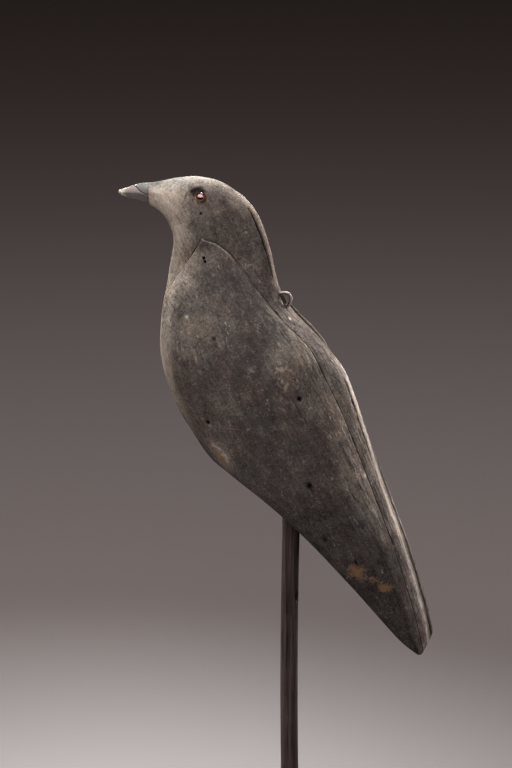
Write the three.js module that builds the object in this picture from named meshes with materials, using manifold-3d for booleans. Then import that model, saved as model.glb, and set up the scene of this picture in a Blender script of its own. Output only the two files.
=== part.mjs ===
// A crow decoy carved from three boards side by side, perched on a rod with a plain round foot.
// Millimetres, +Z up. The bill points to -X, the tail to +X and the bird's left side to -Y.
// The origin is on the rod's axis at the foot's underside.
import * as THREE from "three";
import { mergeVertices } from "three/addons/utils/BufferGeometryUtils.js";
import Module from "manifold-3d";

const wasm = await Module();
wasm.setup();

// Driving dimensions
const PERCH = 250; // height where the rod enters the belly; the heights of the bird are taken from there
const BOARD = 18; // half the thickness of the centre board
const GAP = 0.3; // left between pieces that touch
const LEAST_FLAT = 2; // narrowest strip of the board's flat side
const ARCH_STATION = 6; // the cheeks begin here, at the top of the neck arch
const ARCH_STEP = 1.8; // the cheeks stand this proud of the neck along the arch
const SEAM_STEP = 0.6; // and this much along the back, once the arch has faded
const RIGHT_RISE = 2.1; // the right cheek's edge stands this high above the board along the back
const RISE_STATIONS = { from: 10.7, full: 12, fading: 20.6, gone: 22 };
const ROD_RADIUS = 6.5;
const ROD_IN_BELLY = 58;
const ROD_IN_FOOT = 17;
const FOOT_RADIUS = 80;
const FOOT_HEIGHT = 25;
const WIRE_RADIUS = 1.2;
const EYE = { x: -62.5, z: 242.6, radius: 3.6, proud: 2 };
const EYE_HOLLOW = { radius: 5.8, depth: 1.6 };

// Stations from the bill's root to the tail's end, in the middle plane: back x, z; breast x, z;
// then half width, inset of the seam from the back and from the breast, roundness of back and breast.
const STATIONS = [
  [-103, 249, -103, 233, 9, 8, 8, 2.2, 2.2],
  [-94, 251, -96.5, 230, 12.5, 10.5, 10.5, 2.3, 2.3],
  [-82, 253.5, -90, 223, 16, 16, 16, 2.4, 2.4],
  [-69, 254.5, -86, 214, 18, 22, 22, 2.4, 2.4],
  [-55, 252.5, -85.5, 206, 18, 27, 28, 2.4, 2.4],
  [-43, 247, -87, 198, 18, 32, 33, 2.3, 2.3],
  [-32.5, 239.5, -89, 189, 18, 38, 37, 2.2, 2.2],
  [-25, 230, -90.5, 179.5, 20, 32, 17.5, 2, 2],
  [-19.5, 217, -92, 169, 25, 25, 5.5, 2, 2],
  [-15, 202, -94, 155.5, 30.5, 18.5, 4, 2, 2],
  [-11.5, 184.7, -95, 140.5, 36, 11, 3.5, 2.2, 2.2],
  [-6.5, 168.8, -94.5, 126, 41, 5, 3.5, 2.4, 2.4],
  [2.3, 155.4, -91.5, 111, 45, 2.6, 3.5, 2.4, 2.4],
  [20, 138.6, -83, 88.5, 48, 3.4, 3.5, 2.1, 2.4],
  [37.1, 120.3, -72.5, 71, 49, 10, 3.5, 1.9, 2.4],
  [47, 97.2, -60, 53, 48.5, 8.5, 3.5, 1.9, 2.4],
  [54.6, 73.4, -45.5, 41, 47, 6.3, 3.5, 2.1, 2.4],
  [69.2, 28.6, -9, 14, 43.5, 3.4, 3, 2.8, 2.4],
  [83.3, -10.3, 28.5, -19, 41.5, 3, 2.2, 3.2, 2.6],
  [94.8, -48, 68, -58.5, 39, 2.6, 1.5, 3.6, 3],
  [99.3, -66.2, 83.5, -73.3, 35.5, 2.2, 1, 3.6, 3.3],
  [101.5, -80, 95, -82.3, 29, 1.2, 0.8, 3.4, 3.4],
  [101, -83.7, 98.5, -84.6, 23, 0.7, 0.6, 3, 3],
];
const COLUMNS = ["backX", "backZ", "breastX", "breastZ", "half", "backInset", "breastInset", "backPower", "breastPower"];
const TAIL_END = STATIONS.length - 1;

// Rows of the bill from the tenon's end to the tip: x, top, bottom, half width, roundness.
const BILL = [
  [-90, 245.5, 236.5, 4.5, 2],
  [-101.2, 245.5, 236.5, 4.5, 2],
  [-101.6, 248.7, 233.6, 7.8, 2.1],
  [-104, 249.2, 234, 7.6, 2],
  [-110, 248.6, 236, 6.3, 1.8],
  [-116.2, 246.9, 237, 4.8, 1.7],
  [-121.5, 245, 238, 3.3, 1.7],
  [-125, 243.7, 239.4, 2, 1.8],
  [-126.5, 242.7, 240.9, 0.8, 2],
];

// The wire loop's centre line at the nape, in the middle plane.
const LOOP = [
  [-13, 170.6],
  [-9.3, 171.9],
  [-6.6, 172.6],
  [-4.4, 172.8],
  [-2.5, 172.3],
  [-1.1, 170.9],
  [-0.5, 168.8],
  [-0.6, 166.5],
  [-1.6, 164.4],
  [-3.2, 162.6],
  [-8, 158.6],
];

// How far the rod's axis leans to -X of straight, from the foot to the belly.
const ROD_BOW = 1.2;

const WOOD_PAINTED = { color: 0x4a4540, roughness: 0.8, metalness: 0 };
const HORN_GREY = { color: 0x77757a, roughness: 0.7, metalness: 0 };
const DARK_WOOD = { color: 0x33292a, roughness: 0.75, metalness: 0 };
const FOOT_BLACK = { color: 0x1d1b1a, roughness: 0.6, metalness: 0 };
const GLASS = { color: 0x3a1208, roughness: 0.1, metalness: 0 };
const WIRE = { color: 0x6b5c50, roughness: 0.5, metalness: 0.8 };

// Catmull-Rom value of one column of a table between its rows.
function between(table, column, t) {
  const last = table.length - 1;
  const row = Math.min(Math.floor(t), last - 1);
  const f = t - row;
  const b = table[row][column];
  const c = table[row + 1][column];
  const a = row > 0 ? table[row - 1][column] : 2 * b - c;
  const d = row + 2 <= last ? table[row + 2][column] : 2 * c - b;
  return b + 0.5 * f * (c - a + f * (2 * a - 5 * b + 4 * c - d + f * (3 * (b - c) + d - a)));
}

function smoothstep(from, to, t) {
  return THREE.MathUtils.smoothstep(t, from, to);
}

// The station at t, with its unit direction from the back to the breast and its depth.
function stationAt(t) {
  const s = {};
  COLUMNS.forEach((name, column) => {
    s[name] = between(STATIONS, column, t);
  });
  s.depth = Math.hypot(s.breastX - s.backX, s.breastZ - s.backZ);
  s.directionX = (s.breastX - s.backX) / s.depth;
  s.directionZ = (s.breastZ - s.backZ) / s.depth;
  const room = (s.depth - LEAST_FLAT) / (s.backInset + s.breastInset);
  s.backInset *= Math.min(1, room);
  s.breastInset *= Math.min(1, room);
  return s;
}

// A point of the station's plane, in from the back and out to the side.
function place(s, inward, side) {
  return [s.backX + s.directionX * inward, side, PERCH + s.backZ + s.directionZ * inward];
}

// Where a round section of the given half width reaches the board's side, as a share of its extent.
function seamShare(half, power) {
  const top = Math.min(half, BOARD);
  return (1 - (top / half) ** power) ** (1 / power);
}

// The board's rounded edge from its middle line to its side, as [distance in, distance out].
function roundedEdge(half, power, inset, steps) {
  const top = Math.min(half, BOARD);
  const share = seamShare(half, power);
  return Array.from({ length: steps + 1 }, (_, k) => {
    const side = top * Math.sin((Math.PI / 2) * (k / steps));
    const along = Math.max(0, 1 - (side / half) ** power) ** (1 / power);
    return [(inset * (1 - along)) / (1 - share), side];
  });
}

// One closed loop round the centre board.
function boardLoop(t) {
  const s = stationAt(t);
  const steps = 6;
  const back = roundedEdge(s.half, s.backPower, s.backInset, steps);
  const breast = roundedEdge(s.half, s.breastPower, s.breastInset, steps);
  return [
    ...back.slice(1).reverse().map(([inward, side]) => place(s, inward, -side)),
    ...back.map(([inward, side]) => place(s, inward, side)),
    ...breast.slice(1).reverse().map(([inward, side]) => place(s, s.depth - inward, side)),
    ...breast.map(([inward, side]) => place(s, s.depth - inward, -side)),
  ];
}

// How high a cheek's edge stands above the board's; the left one is flush.
function backRise(t, hand) {
  const { from, full, fading, gone } = RISE_STATIONS;
  return hand > 0 ? RIGHT_RISE * smoothstep(from, full, t) * (1 - smoothstep(fading, gone, t)) : 0;
}

// One closed loop round a cheek: the bulging outer face, closed by the flat inner one.
function cheekLoop(t, hand) {
  const s = stationAt(t);
  const steps = 12;
  const flat = s.depth - s.backInset - s.breastInset;
  const half = Math.max(s.half, BOARD);
  const step = SEAM_STEP + (ARCH_STEP - SEAM_STEP) * (1 - smoothstep(8, 11, t));
  const inner = hand * (BOARD + GAP);
  const loop = [place(s, s.backInset, inner)];
  for (let k = 0; k <= steps; k += 1) {
    const across = Math.cos(Math.PI * (k / steps));
    const power = across > 0 ? s.backPower : s.breastPower;
    const reach = Math.abs(across) * seamShare(half, power);
    const bulge = half * (1 - reach ** power) ** (1 / power);
    const rise = backRise(t, hand) * Math.max(0, across) ** 4;
    loop.push(place(s, s.backInset + (flat * (1 - across)) / 2 - rise, hand * (bulge + step)));
  }
  loop.push(place(s, s.depth - s.breastInset, inner));
  return loop;
}

// A closed body through loops of equal length, with a fan at either end.
function loft(loops) {
  const count = loops[0].length;
  const corners = loops.flat();
  const triangles = [];
  for (let i = 0; i < loops.length - 1; i += 1) {
    for (let j = 0; j < count; j += 1) {
      const a = i * count + j;
      const b = i * count + ((j + 1) % count);
      triangles.push([a, b, b + count], [a, b + count, a + count]);
    }
  }
  const ends = [
    { start: 0, turn: 1 },
    { start: (loops.length - 1) * count, turn: -1 },
  ];
  for (const { start, turn } of ends) {
    const centre = corners.length;
    const sum = [0, 1, 2].map((axis) => {
      return corners.slice(start, start + count).reduce((total, corner) => total + corner[axis], 0);
    });
    corners.push(sum.map((total) => total / count));
    for (let j = 0; j < count; j += 1) {
      const a = start + j;
      const b = start + ((j + 1) % count);
      triangles.push(turn > 0 ? [centre, b, a] : [centre, a, b]);
    }
  }
  return outward(corners, triangles);
}

// The same body with its faces turned out.
function outward(corners, triangles) {
  const [a, b, c] = [new THREE.Vector3(), new THREE.Vector3(), new THREE.Vector3()];
  const volume = triangles.reduce((total, [i, j, k]) => {
    a.fromArray(corners[i]);
    b.fromArray(corners[j]);
    c.fromArray(corners[k]);
    return total + a.dot(b.cross(c));
  }, 0);
  const turned = volume < 0 ? triangles.map(([i, j, k]) => [i, k, j]) : triangles;
  const geometry = new THREE.BufferGeometry();
  geometry.setAttribute("position", new THREE.Float32BufferAttribute(corners.flat(), 3));
  geometry.setIndex(turned.flat());
  return geometry;
}

function range(from, to, count) {
  return Array.from({ length: count + 1 }, (_, k) => from + ((to - from) * k) / count);
}

// A closed loop of the bill, grown outwards for the socket.
function billLoop(t, grow) {
  const [x, top, bottom, half, power] = [0, 1, 2, 3, 4].map((column) => between(BILL, column, t));
  const middle = (top + bottom) / 2;
  const height = (top - bottom) / 2 + grow;
  const steps = 14;
  return Array.from({ length: steps }, (_, k) => {
    const angle = (2 * Math.PI * k) / steps;
    const out = Math.sign(Math.cos(angle)) * Math.abs(Math.cos(angle)) ** (2 / power);
    const up = Math.sign(Math.sin(angle)) * Math.abs(Math.sin(angle)) ** (2 / power);
    return [x, (half + grow) * out, PERCH + middle + height * up];
  });
}

// The bill's straight tenon and shoulder keep their rows; only the shaft is rounded between rows.
function bill(grow) {
  const shaft = range(3, BILL.length - 1, 10);
  return loft([0, 1, 2, ...shaft].map((t) => billLoop(t, grow)));
}

// The wire loop, or the channel it sits in when it is grown.
function loop(grow) {
  const path = new THREE.CatmullRomCurve3(LOOP.map(([x, z]) => new THREE.Vector3(x, 0, PERCH + z)));
  const section = new THREE.Shape().absarc(0, 0, WIRE_RADIUS + grow, 0, 2 * Math.PI);
  return new THREE.ExtrudeGeometry(section, { steps: 20, extrudePath: path, curveSegments: 4 });
}

// The rod from inside the foot to inside the belly, a little bowed; straight where it is housed.
function rod(grow) {
  const foot = FOOT_HEIGHT - ROD_IN_FOOT;
  const steps = 20;
  const loops = range(foot - (grow > 0 ? GAP : 0), PERCH + ROD_IN_BELLY + grow, 9).map((z) => {
    const free = THREE.MathUtils.clamp((z - FOOT_HEIGHT) / (PERCH - FOOT_HEIGHT), 0, 1);
    const lean = -ROD_BOW * Math.sin(Math.PI * free);
    return Array.from({ length: steps }, (_, k) => {
      const angle = (2 * Math.PI * k) / steps;
      const radius = ROD_RADIUS + grow;
      return [lean + radius * Math.cos(angle), radius * Math.sin(angle), z];
    });
  });
  return loft(loops);
}

// The round foot, turned with a soft upper edge and bored for the rod.
function foot() {
  const bore = ROD_RADIUS + GAP;
  const floor = FOOT_HEIGHT - ROD_IN_FOOT - GAP;
  const profile = [
    [0, 0],
    [FOOT_RADIUS - 2, 0],
    [FOOT_RADIUS, 2],
    [FOOT_RADIUS, FOOT_HEIGHT - 8],
    [FOOT_RADIUS - 1, FOOT_HEIGHT - 4.5],
    [FOOT_RADIUS - 3.5, FOOT_HEIGHT - 1.5],
    [FOOT_RADIUS - 7, FOOT_HEIGHT],
    [bore, FOOT_HEIGHT],
    [bore, floor],
    [0, floor],
  ];
  const points = profile.map(([radius, height]) => new THREE.Vector2(radius, height));
  return new THREE.LatheGeometry(points, 44).rotateX(Math.PI / 2);
}

// A glass eye, a ball set in the side of the head.
function eye(hand, grow) {
  const centre = hand * (BOARD - EYE_HOLLOW.depth + EYE.proud - EYE.radius);
  return new THREE.SphereGeometry(EYE.radius + grow, 14, 10).translate(EYE.x, centre, PERCH + EYE.z);
}

// The shallow dished hollow round an eye.
function eyeHollow(hand) {
  const dish = (EYE_HOLLOW.radius ** 2 + EYE_HOLLOW.depth ** 2) / (2 * EYE_HOLLOW.depth);
  const centre = hand * (BOARD - EYE_HOLLOW.depth + dish);
  return new THREE.SphereGeometry(dish, 36, 24).translate(EYE.x, centre, PERCH + EYE.z);
}

function toSolid(geometry) {
  const bare = geometry.clone();
  bare.deleteAttribute("normal");
  bare.deleteAttribute("uv");
  const merged = mergeVertices(bare, 1e-4);
  return new wasm.Manifold(
    new wasm.Mesh({
      numProp: 3,
      vertProperties: merged.attributes.position.array,
      triVerts: new Uint32Array(merged.index.array),
    }),
  );
}

function toGeometry(solid) {
  const { vertProperties, triVerts } = solid.getMesh();
  const geometry = new THREE.BufferGeometry();
  geometry.setAttribute("position", new THREE.BufferAttribute(vertProperties, 3));
  geometry.setIndex(new THREE.BufferAttribute(triVerts, 1));
  return geometry;
}

// The centre board with the bill's socket, the eye seats, the rod's bore and the wire's channel cut in.
function centreBoard() {
  const body = loft(range(0, TAIL_END, 3 * TAIL_END).map(boardLoop));
  const cuts = [bill(GAP), rod(GAP), loop(GAP), eye(-1, GAP), eye(1, GAP), eyeHollow(-1), eyeHollow(1)];
  return toGeometry(cuts.reduce((solid, cut) => solid.subtract(toSolid(cut)), toSolid(body)));
}

function cheek(hand) {
  const rows = 3 * (TAIL_END - ARCH_STATION);
  return loft(range(ARCH_STATION, TAIL_END, rows).map((t) => cheekLoop(t, hand)));
}

const part = new THREE.Group();

function add(name, geometry, look) {
  geometry.computeVertexNormals();
  const mesh = new THREE.Mesh(geometry, new THREE.MeshStandardMaterial(look));
  mesh.name = name;
  part.add(mesh);
}

add("base", foot(), FOOT_BLACK);
add("rod", rod(0), DARK_WOOD);
add("centre_board", centreBoard(), WOOD_PAINTED);
add("left_cheek", cheek(-1), WOOD_PAINTED);
add("right_cheek", cheek(1), WOOD_PAINTED);
add("bill", bill(0), HORN_GREY);
add("left_eye", eye(-1, 0), GLASS);
add("right_eye", eye(1, 0), GLASS);
add("nape_loop", loop(0), WIRE);

export default part;
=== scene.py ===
"""The looks of the crow decoy: worn paint on carved boards, bill, glass eyes, wire loop, rod and foot.

Blender 4.5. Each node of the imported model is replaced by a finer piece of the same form. The object is
in millimetres, with its heights taken from the place where the rod enters the belly; in_frame() turns
them into the frame's metres. The stage, the lights and the camera are in metres.
"""

import math

import bpy
import numpy as np
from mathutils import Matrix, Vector


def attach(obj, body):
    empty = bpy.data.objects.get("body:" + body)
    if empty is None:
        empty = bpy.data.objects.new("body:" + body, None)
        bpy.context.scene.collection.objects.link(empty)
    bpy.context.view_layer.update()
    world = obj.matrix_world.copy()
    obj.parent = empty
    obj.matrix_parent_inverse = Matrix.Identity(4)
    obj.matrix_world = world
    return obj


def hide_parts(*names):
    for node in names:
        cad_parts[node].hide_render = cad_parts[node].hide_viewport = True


MM = 0.001
PERCH = 250  # how high the rod enters the belly
BOARD = 18  # half the centre board's thickness
GAP = 0.3  # between a piece and its neighbour
LEAST_FLAT = 2  # the least of the board's side that stays flat at a station
SEAM_DEPTH = 2  # how far below its rounded edge a cheek's inner face begins
ARCH_STEP = 1.8  # how far a cheek's edge stands out from the board round the arch
SEAM_STEP = 0.6  # the same further down
RIGHT_RISE = 2.1  # how far the right cheek's edge stands above the back
ROD_RADIUS = 6.5
ROD_IN_BELLY = 58
ROD_IN_FOOT = 17
ROD_BOW = 1.2
FOOT_RADIUS = 80
FOOT_HEIGHT = 25
WIRE_RADIUS = 1.2
EYE_X, EYE_Z, EYE_RADIUS, EYE_PROUD = -62.5, 242.6, 3.6, 2
EYE_FLATNESS, EYE_TILT = 0.64, 20
HOLLOW_RADIUS, HOLLOW_DEPTH = 5.8, 1.6
LEFT, RIGHT = -1, 1
SIDE_NAMES = {LEFT: "left", RIGHT: "right"}

# Stations from the bill's root to the tail's end, in the middle plane: back x, z; breast x, z;
# then half width, inset of the seam from the back and from the breast, roundness of back and breast.
# Station 6 is at the top of the neck's arch, 11 at the wire loop, 13 at the shoulder and 17 by the rod.
STATIONS = [
    [-103, 249, -103, 233, 9, 8, 8, 2.2, 2.2],
    [-94, 251, -96.5, 230, 12.5, 10.5, 10.5, 2.3, 2.3],
    [-82, 253.5, -90, 223, 16, 16, 16, 2.4, 2.4],
    [-69, 254.5, -86, 214, 18, 22, 22, 2.4, 2.4],
    [-55, 252.5, -85.5, 206, 18, 27, 28, 2.4, 2.4],
    [-43, 247, -87, 198, 18, 32, 33, 2.3, 2.3],
    [-32.5, 239.5, -89, 189, 18, 38, 37, 2.2, 2.2],
    [-25, 230, -90.5, 179.5, 20, 32, 17.5, 2, 2],
    [-19.5, 217, -92, 169, 25, 25, 5.5, 2, 2],
    [-15, 202, -94, 155.5, 30.5, 18.5, 4, 2, 2],
    [-11.5, 184.7, -95, 140.5, 36, 11, 3.5, 2.2, 2.2],
    [-6.5, 168.8, -94.5, 126, 41, 5, 3.5, 2.4, 2.4],
    [2.3, 155.4, -91.5, 111, 45, 2.6, 3.5, 2.4, 2.4],
    [20, 138.6, -83, 88.5, 48, 3.4, 3.5, 2.1, 2.4],
    [37.1, 120.3, -72.5, 71, 49, 10, 3.5, 1.9, 2.4],
    [47, 97.2, -60, 53, 48.5, 8.5, 3.5, 1.9, 2.4],
    [54.6, 73.4, -45.5, 41, 47, 6.3, 3.5, 2.1, 2.4],
    [69.2, 28.6, -9, 14, 43.5, 3.4, 3, 2.8, 2.4],
    [83.3, -10.3, 28.5, -19, 41.5, 3, 2.2, 3.2, 2.6],
    [94.8, -48, 68, -58.5, 39, 2.6, 1.5, 3.6, 3],
    [99.3, -66.2, 83.5, -73.3, 35.5, 2.2, 1, 3.6, 3.3],
    [101.5, -80, 95, -82.3, 29, 1.2, 0.8, 3.4, 3.4],
    [101, -83.7, 98.5, -84.6, 23, 0.7, 0.6, 3, 3],
]
ARCH_STATION = 6
TAIL_END = len(STATIONS) - 1

# Rows of the bill from the tenon's end to the tip: x, top, bottom, half width, roundness.
BILL = [
    [-90, 245.5, 236.5, 4.5, 2],
    [-101.2, 245.5, 236.5, 4.5, 2],
    [-101.6, 248.7, 233.6, 7.8, 2.1],
    [-104, 249.2, 234, 7.6, 2],
    [-110, 248.6, 236, 6.3, 1.8],
    [-116.2, 246.9, 237, 4.8, 1.7],
    [-121.5, 245, 238, 3.3, 1.7],
    [-125, 243.7, 239.4, 2, 1.8],
    [-126.5, 242.7, 240.9, 0.8, 2],
]

# The wire loop's centre line at the nape, in the middle plane: x, z.
LOOP = [
    (-13, 170.6), (-9.3, 171.9), (-6.6, 172.6), (-4.4, 172.8), (-2.5, 172.3), (-1.1, 170.9),
    (-0.5, 168.8), (-0.6, 166.5), (-1.6, 164.4), (-3.2, 162.6), (-8, 158.6),
]

# Drying cracks in the centre board's back, two at the nape and one below the shoulder: distance to the
# side, width, depth, then x, z along the crack.
CRACKS = [
    (-5.6, 1.2, 1.6, [(-32, 238), (-27, 229.5), (-22, 217.5), (-17.5, 204.5), (-14, 193), (-11.5, 182)]),
    (-8.5, 0.6, 0.8, [(-31.5, 236), (-29, 231.5), (-26, 226), (-23.5, 220)]),
    (-5.6, 1.1, 1.5, [(39, 115), (45.5, 99), (48.5, 90), (52, 80), (58, 62.5), (60.5, 53)]),
]

# Lighter and darker patches of the old paint on the side of the bird: x, z, reach along and across, lean in
# degrees, and how much lighter.
PATCHES = [
    (-90, 241, 20, 13, 0, 0.7),
    (-62, 255, 26, 6, -6, 0.42),
    (-36, 241, 12, 7, -48, 0.3),
    (-80, 218, 11, 13, 0, 0.6),
    (-86, 198, 9, 16, 0, 0.5),
    (-97, 250.5, 8, 3.2, -10, -0.3),
    (-72, 184, 8, 11, 15, 0.27),
    (-66, 160, 10, 20, 10, 0.06),
    (-34, 102, 16, 18, 0, 0.06),
    (-44, 62, 7, 14, 35, 0.34),
    (-64, 231, 12, 8, 0, 0.21),
    (-70, 140, 8, 30, 0, 0.03),
    (-16, 200, 5, 22, 20, -0.04),
    (30, 24, 12, 18, -20, -0.06),
    (86, -58, 12, 16, 0, 0.06),
    (53, 60, 8, 20, 25, -0.05),
    (57, 8, 12, 16, 0, -0.03),
    (-54, 223, 9, 10, 0, 0.06),
    (-33, 206, 8, 16, 0, -0.1),
    (-22, 162, 16, 20, 20, -0.13),
]

# Small pale specks and scuffs: x, z, reach along and across, lean in degrees, and how much lighter.
SCUFFS = [
    (-69.2, 159.6, 1.4, 1.4, 0, 0.6),
    (-31, 218, 1.1, 0.9, 0, 0.35),
    (-49.8, 68.2, 1, 1, 0, 0.35),
    (-60.5, 131.5, 3.4, 1.1, -75, 0.3),
    (-63.2, 137.3, 1.6, 0.9, -60, 0.2),
    (-57.6, 122.4, 2, 1, -40, 0.25),
    (-43.3, 141.3, 3, 1.6, -80, 0.2),
    (-19.9, 125.8, 4, 1.8, 40, 0.22),
    (-40, 112.7, 4.5, 1, 30, 0.14),
    (-56.5, 87.5, 1.1, 1, 0, 0.4),
    (-50.5, 83.5, 1.2, 1, -60, 0.4),
    (-36, 88, 1, 1, 0, 0.2),
    (73, 2, 1.6, 5, 20, 0.2),
    (57.5, 46.5, 0.9, 1.6, 20, 0.5),
]

# Nail holes on the side of the bird: x, z, radius, depth.
HEAD_NAILS = [(-62.4, 231.2, 0.8, 1.8)]
CHEEK_NAILS = [
    (-59.4, 200.4, 1, 1.8),
    (-58.3, 198.2, 0.9, 1.6),
    (-48, 146.2, 1.4, 0.6),
    (-28.2, 105.7, 1, 0.5),
    (13.7, 104.8, 1.3, 1.8),
    (-52.2, 85.5, 1.4, 1),
    (22.2, 43.1, 1.8, 1.6),
    (32.8, 3.1, 1.6, 0.7),
    (55.3, -12.7, 0.9, 1),
]

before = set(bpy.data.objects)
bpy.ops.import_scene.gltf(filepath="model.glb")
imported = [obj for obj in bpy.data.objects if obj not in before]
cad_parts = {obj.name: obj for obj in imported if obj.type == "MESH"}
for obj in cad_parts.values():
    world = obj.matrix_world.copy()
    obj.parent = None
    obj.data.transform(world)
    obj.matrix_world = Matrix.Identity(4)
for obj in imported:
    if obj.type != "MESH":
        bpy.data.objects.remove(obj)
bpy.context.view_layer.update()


def in_frame(points):
    """The object's points in the frame's metres."""
    return (np.asarray(points, float) + (0, 0, PERCH)) * MM


# Numbers that vary smoothly


def between(table, t):
    """Values of a table's columns at t, on smooth curves through its rows, along the last axis."""
    rows = np.asarray(table, float)
    last = len(rows) - 1
    row = np.clip(np.floor(t).astype(int), 0, last - 1)
    f = (t - row)[..., None]
    b, c = rows[row], rows[row + 1]
    a = np.where((row > 0)[..., None], rows[np.maximum(row - 1, 0)], 2 * b - c)
    d = np.where((row + 2 <= last)[..., None], rows[np.minimum(row + 2, last)], 2 * c - b)
    return b + 0.5 * f * (c - a + f * (2 * a - 5 * b + 4 * c - d + f * (3 * (b - c) + d - a)))


def step(low, high, value):
    """0 below low, 1 above high and smooth between them."""
    f = np.clip((value - low) / (high - low), 0, 1)
    return f * f * (3 - 2 * f)


def within(value, low, full, fading, gone):
    """1 from full to fading, 0 below low and above gone, and smooth between them."""
    return step(low, full, value) * (1 - step(fading, gone, value))


def bell(value, width):
    """A smooth hump: 1 at a value of 0, and about a third of that at the width."""
    return np.exp(-((value / width) ** 2))


def spot_gap(points, x, z):
    """How far each point is from a spot, seen square to the bird's side."""
    return np.hypot(points[..., 0] - x, points[..., 2] - z)


HASH_FACTORS = (73856093, 19349663, 83492791)
NOISE_SHIFT = 1000.5  # keeps the numbers of the cells above zero
NOISE_GAIN = 1.6


def hashed(cell, seed):
    """A scrambled whole number for each cell of a grid."""
    x, y, z = (cell[..., k].astype(np.uint64) * HASH_FACTORS[k] for k in range(3))
    h = x ^ y ^ z ^ (seed * 7919)
    h = (h ^ (h >> 13)) * 1274126177
    return (h ^ (h >> 16)) & 0x3FFFFFFF


def cell_noise(points, seed):
    """Gradient noise on a grid of cells 1 across."""
    cell = np.floor(points).astype(np.int64)
    f = points - cell
    w = f * f * f * (f * (f * 6 - 15) + 10)
    value = 0
    for corner in np.ndindex(2, 2, 2):
        corner = np.array(corner)
        h = hashed(cell + corner, seed)
        slopes = [((h >> 10 * k) & 1023) / 511.5 - 1 for k in range(3)]
        away = f - corner
        share = np.prod(np.where(corner == 1, w, 1 - w), axis=-1)
        value = value + share * sum(slopes[k] * away[..., k] for k in range(3))
    return value


def noise(points, size, seed, octaves=1):
    """Noise of about -1 to 1 with features of the given size; each further octave is half the size."""
    total = 0
    for octave in range(octaves):
        finer = points / size * 2**octave + NOISE_SHIFT
        total = total + cell_noise(finer, seed + octave) * NOISE_GAIN / 2**octave
    return total


GRAIN_WAY = np.array([0.5, 0, -0.87])


def along_grain(points, stretch):
    """The same points squeezed along the wood's grain, so that noise on them runs along it."""
    along = (points @ GRAIN_WAY)[..., None]
    return points + GRAIN_WAY * along * (1 / stretch - 1)


def away_from(points, path):
    """How far each point is from a path, and how far along it as a share."""
    path = np.asarray(path, float)
    best = np.full(points.shape[:-1], np.inf)
    share = np.zeros(points.shape[:-1])
    for k, (a, b) in enumerate(zip(path[:-1], path[1:])):
        f = np.clip(((points - a) @ (b - a)) / ((b - a) @ (b - a)), 0, 1)
        distance = np.linalg.norm(points - (a + f[..., None] * (b - a)), axis=-1)
        share = np.where(distance < best, (k + f) / (len(path) - 1), share)
        best = np.minimum(best, distance)
    return best, share


# The bird's surfaces


def station(t):
    """The station at t, as named arrays."""
    v = between(STATIONS, t)
    span = v[..., 2:4] - v[..., 0:2]
    depth = np.hypot(span[..., 0], span[..., 1])
    room = np.minimum(1, (depth - LEAST_FLAT) / (v[..., 5] + v[..., 6]))
    return {
        "back": v[..., 0:2],
        "way": span / depth[..., None],
        "depth": depth,
        "half": v[..., 4],
        "back_inset": v[..., 5] * room,
        "breast_inset": v[..., 6] * room,
        "flat": depth - v[..., 5] * room - v[..., 6] * room,
        "back_power": v[..., 7],
        "breast_power": v[..., 8],
    }


def angles(count):
    """Angles once round, in radians."""
    return np.linspace(0, 2 * np.pi, count, endpoint=False)


def place(s, inward, side):
    """Points of the station's plane, in from the back and out to the side."""
    spot = s["back"] + s["way"] * inward[..., None]
    return np.stack([spot[..., 0], side * np.ones_like(inward), spot[..., 1]], axis=-1)


def seam_share(half, power):
    """Where the seam lies on the rounded section: 0 at its widest place, 1 at its crest."""
    top = np.minimum(half, BOARD)
    return np.maximum(0, 1 - (top / half) ** power) ** (1 / power)


def rounded_edge(s, which, a):
    """The board's rounded edge, a from -1 at the left side to 1 at the right: distance in and to the side."""
    half, power = s["half"], s[which + "_power"]
    side = np.minimum(half, BOARD) * np.sin(np.pi / 2 * a)
    along = np.maximum(0, 1 - (np.abs(side) / half) ** power) ** (1 / power)
    return s[which + "_inset"] * (1 - along) / (1 - seam_share(half, power)), side


def board_surface(t, u):
    """The board's surface. u runs round it: the back from 0 to 1, a side, the breast, a side."""
    s = station(t)
    face, f = np.floor(u), u - np.floor(u)
    faces = [face == k for k in range(4)]
    a = np.where(faces[0], 2 * f - 1, 1 - 2 * f)
    back_in, back_side = rounded_edge(s, "back", a)
    breast_in, breast_side = rounded_edge(s, "breast", a)
    top = np.minimum(s["half"], BOARD)
    down, up = s["back_inset"] + s["flat"] * f, s["depth"] - s["breast_inset"] - s["flat"] * f
    inward = [back_in, down, s["depth"] - breast_in, up]
    return place(s, np.select(faces, inward), np.select(faces, [back_side, top, breast_side, -top]))


def proud(t):
    """How far the cheeks' edges stand out from the board, most round the arch."""
    return SEAM_STEP + (ARCH_STEP - SEAM_STEP) * (1 - step(8, 11, t))


def risen(t):
    """1 where the right cheek's edge stands above the back, from below the loop to the tail."""
    return within(t, 10.7, 12, 20.6, 22)


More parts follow.
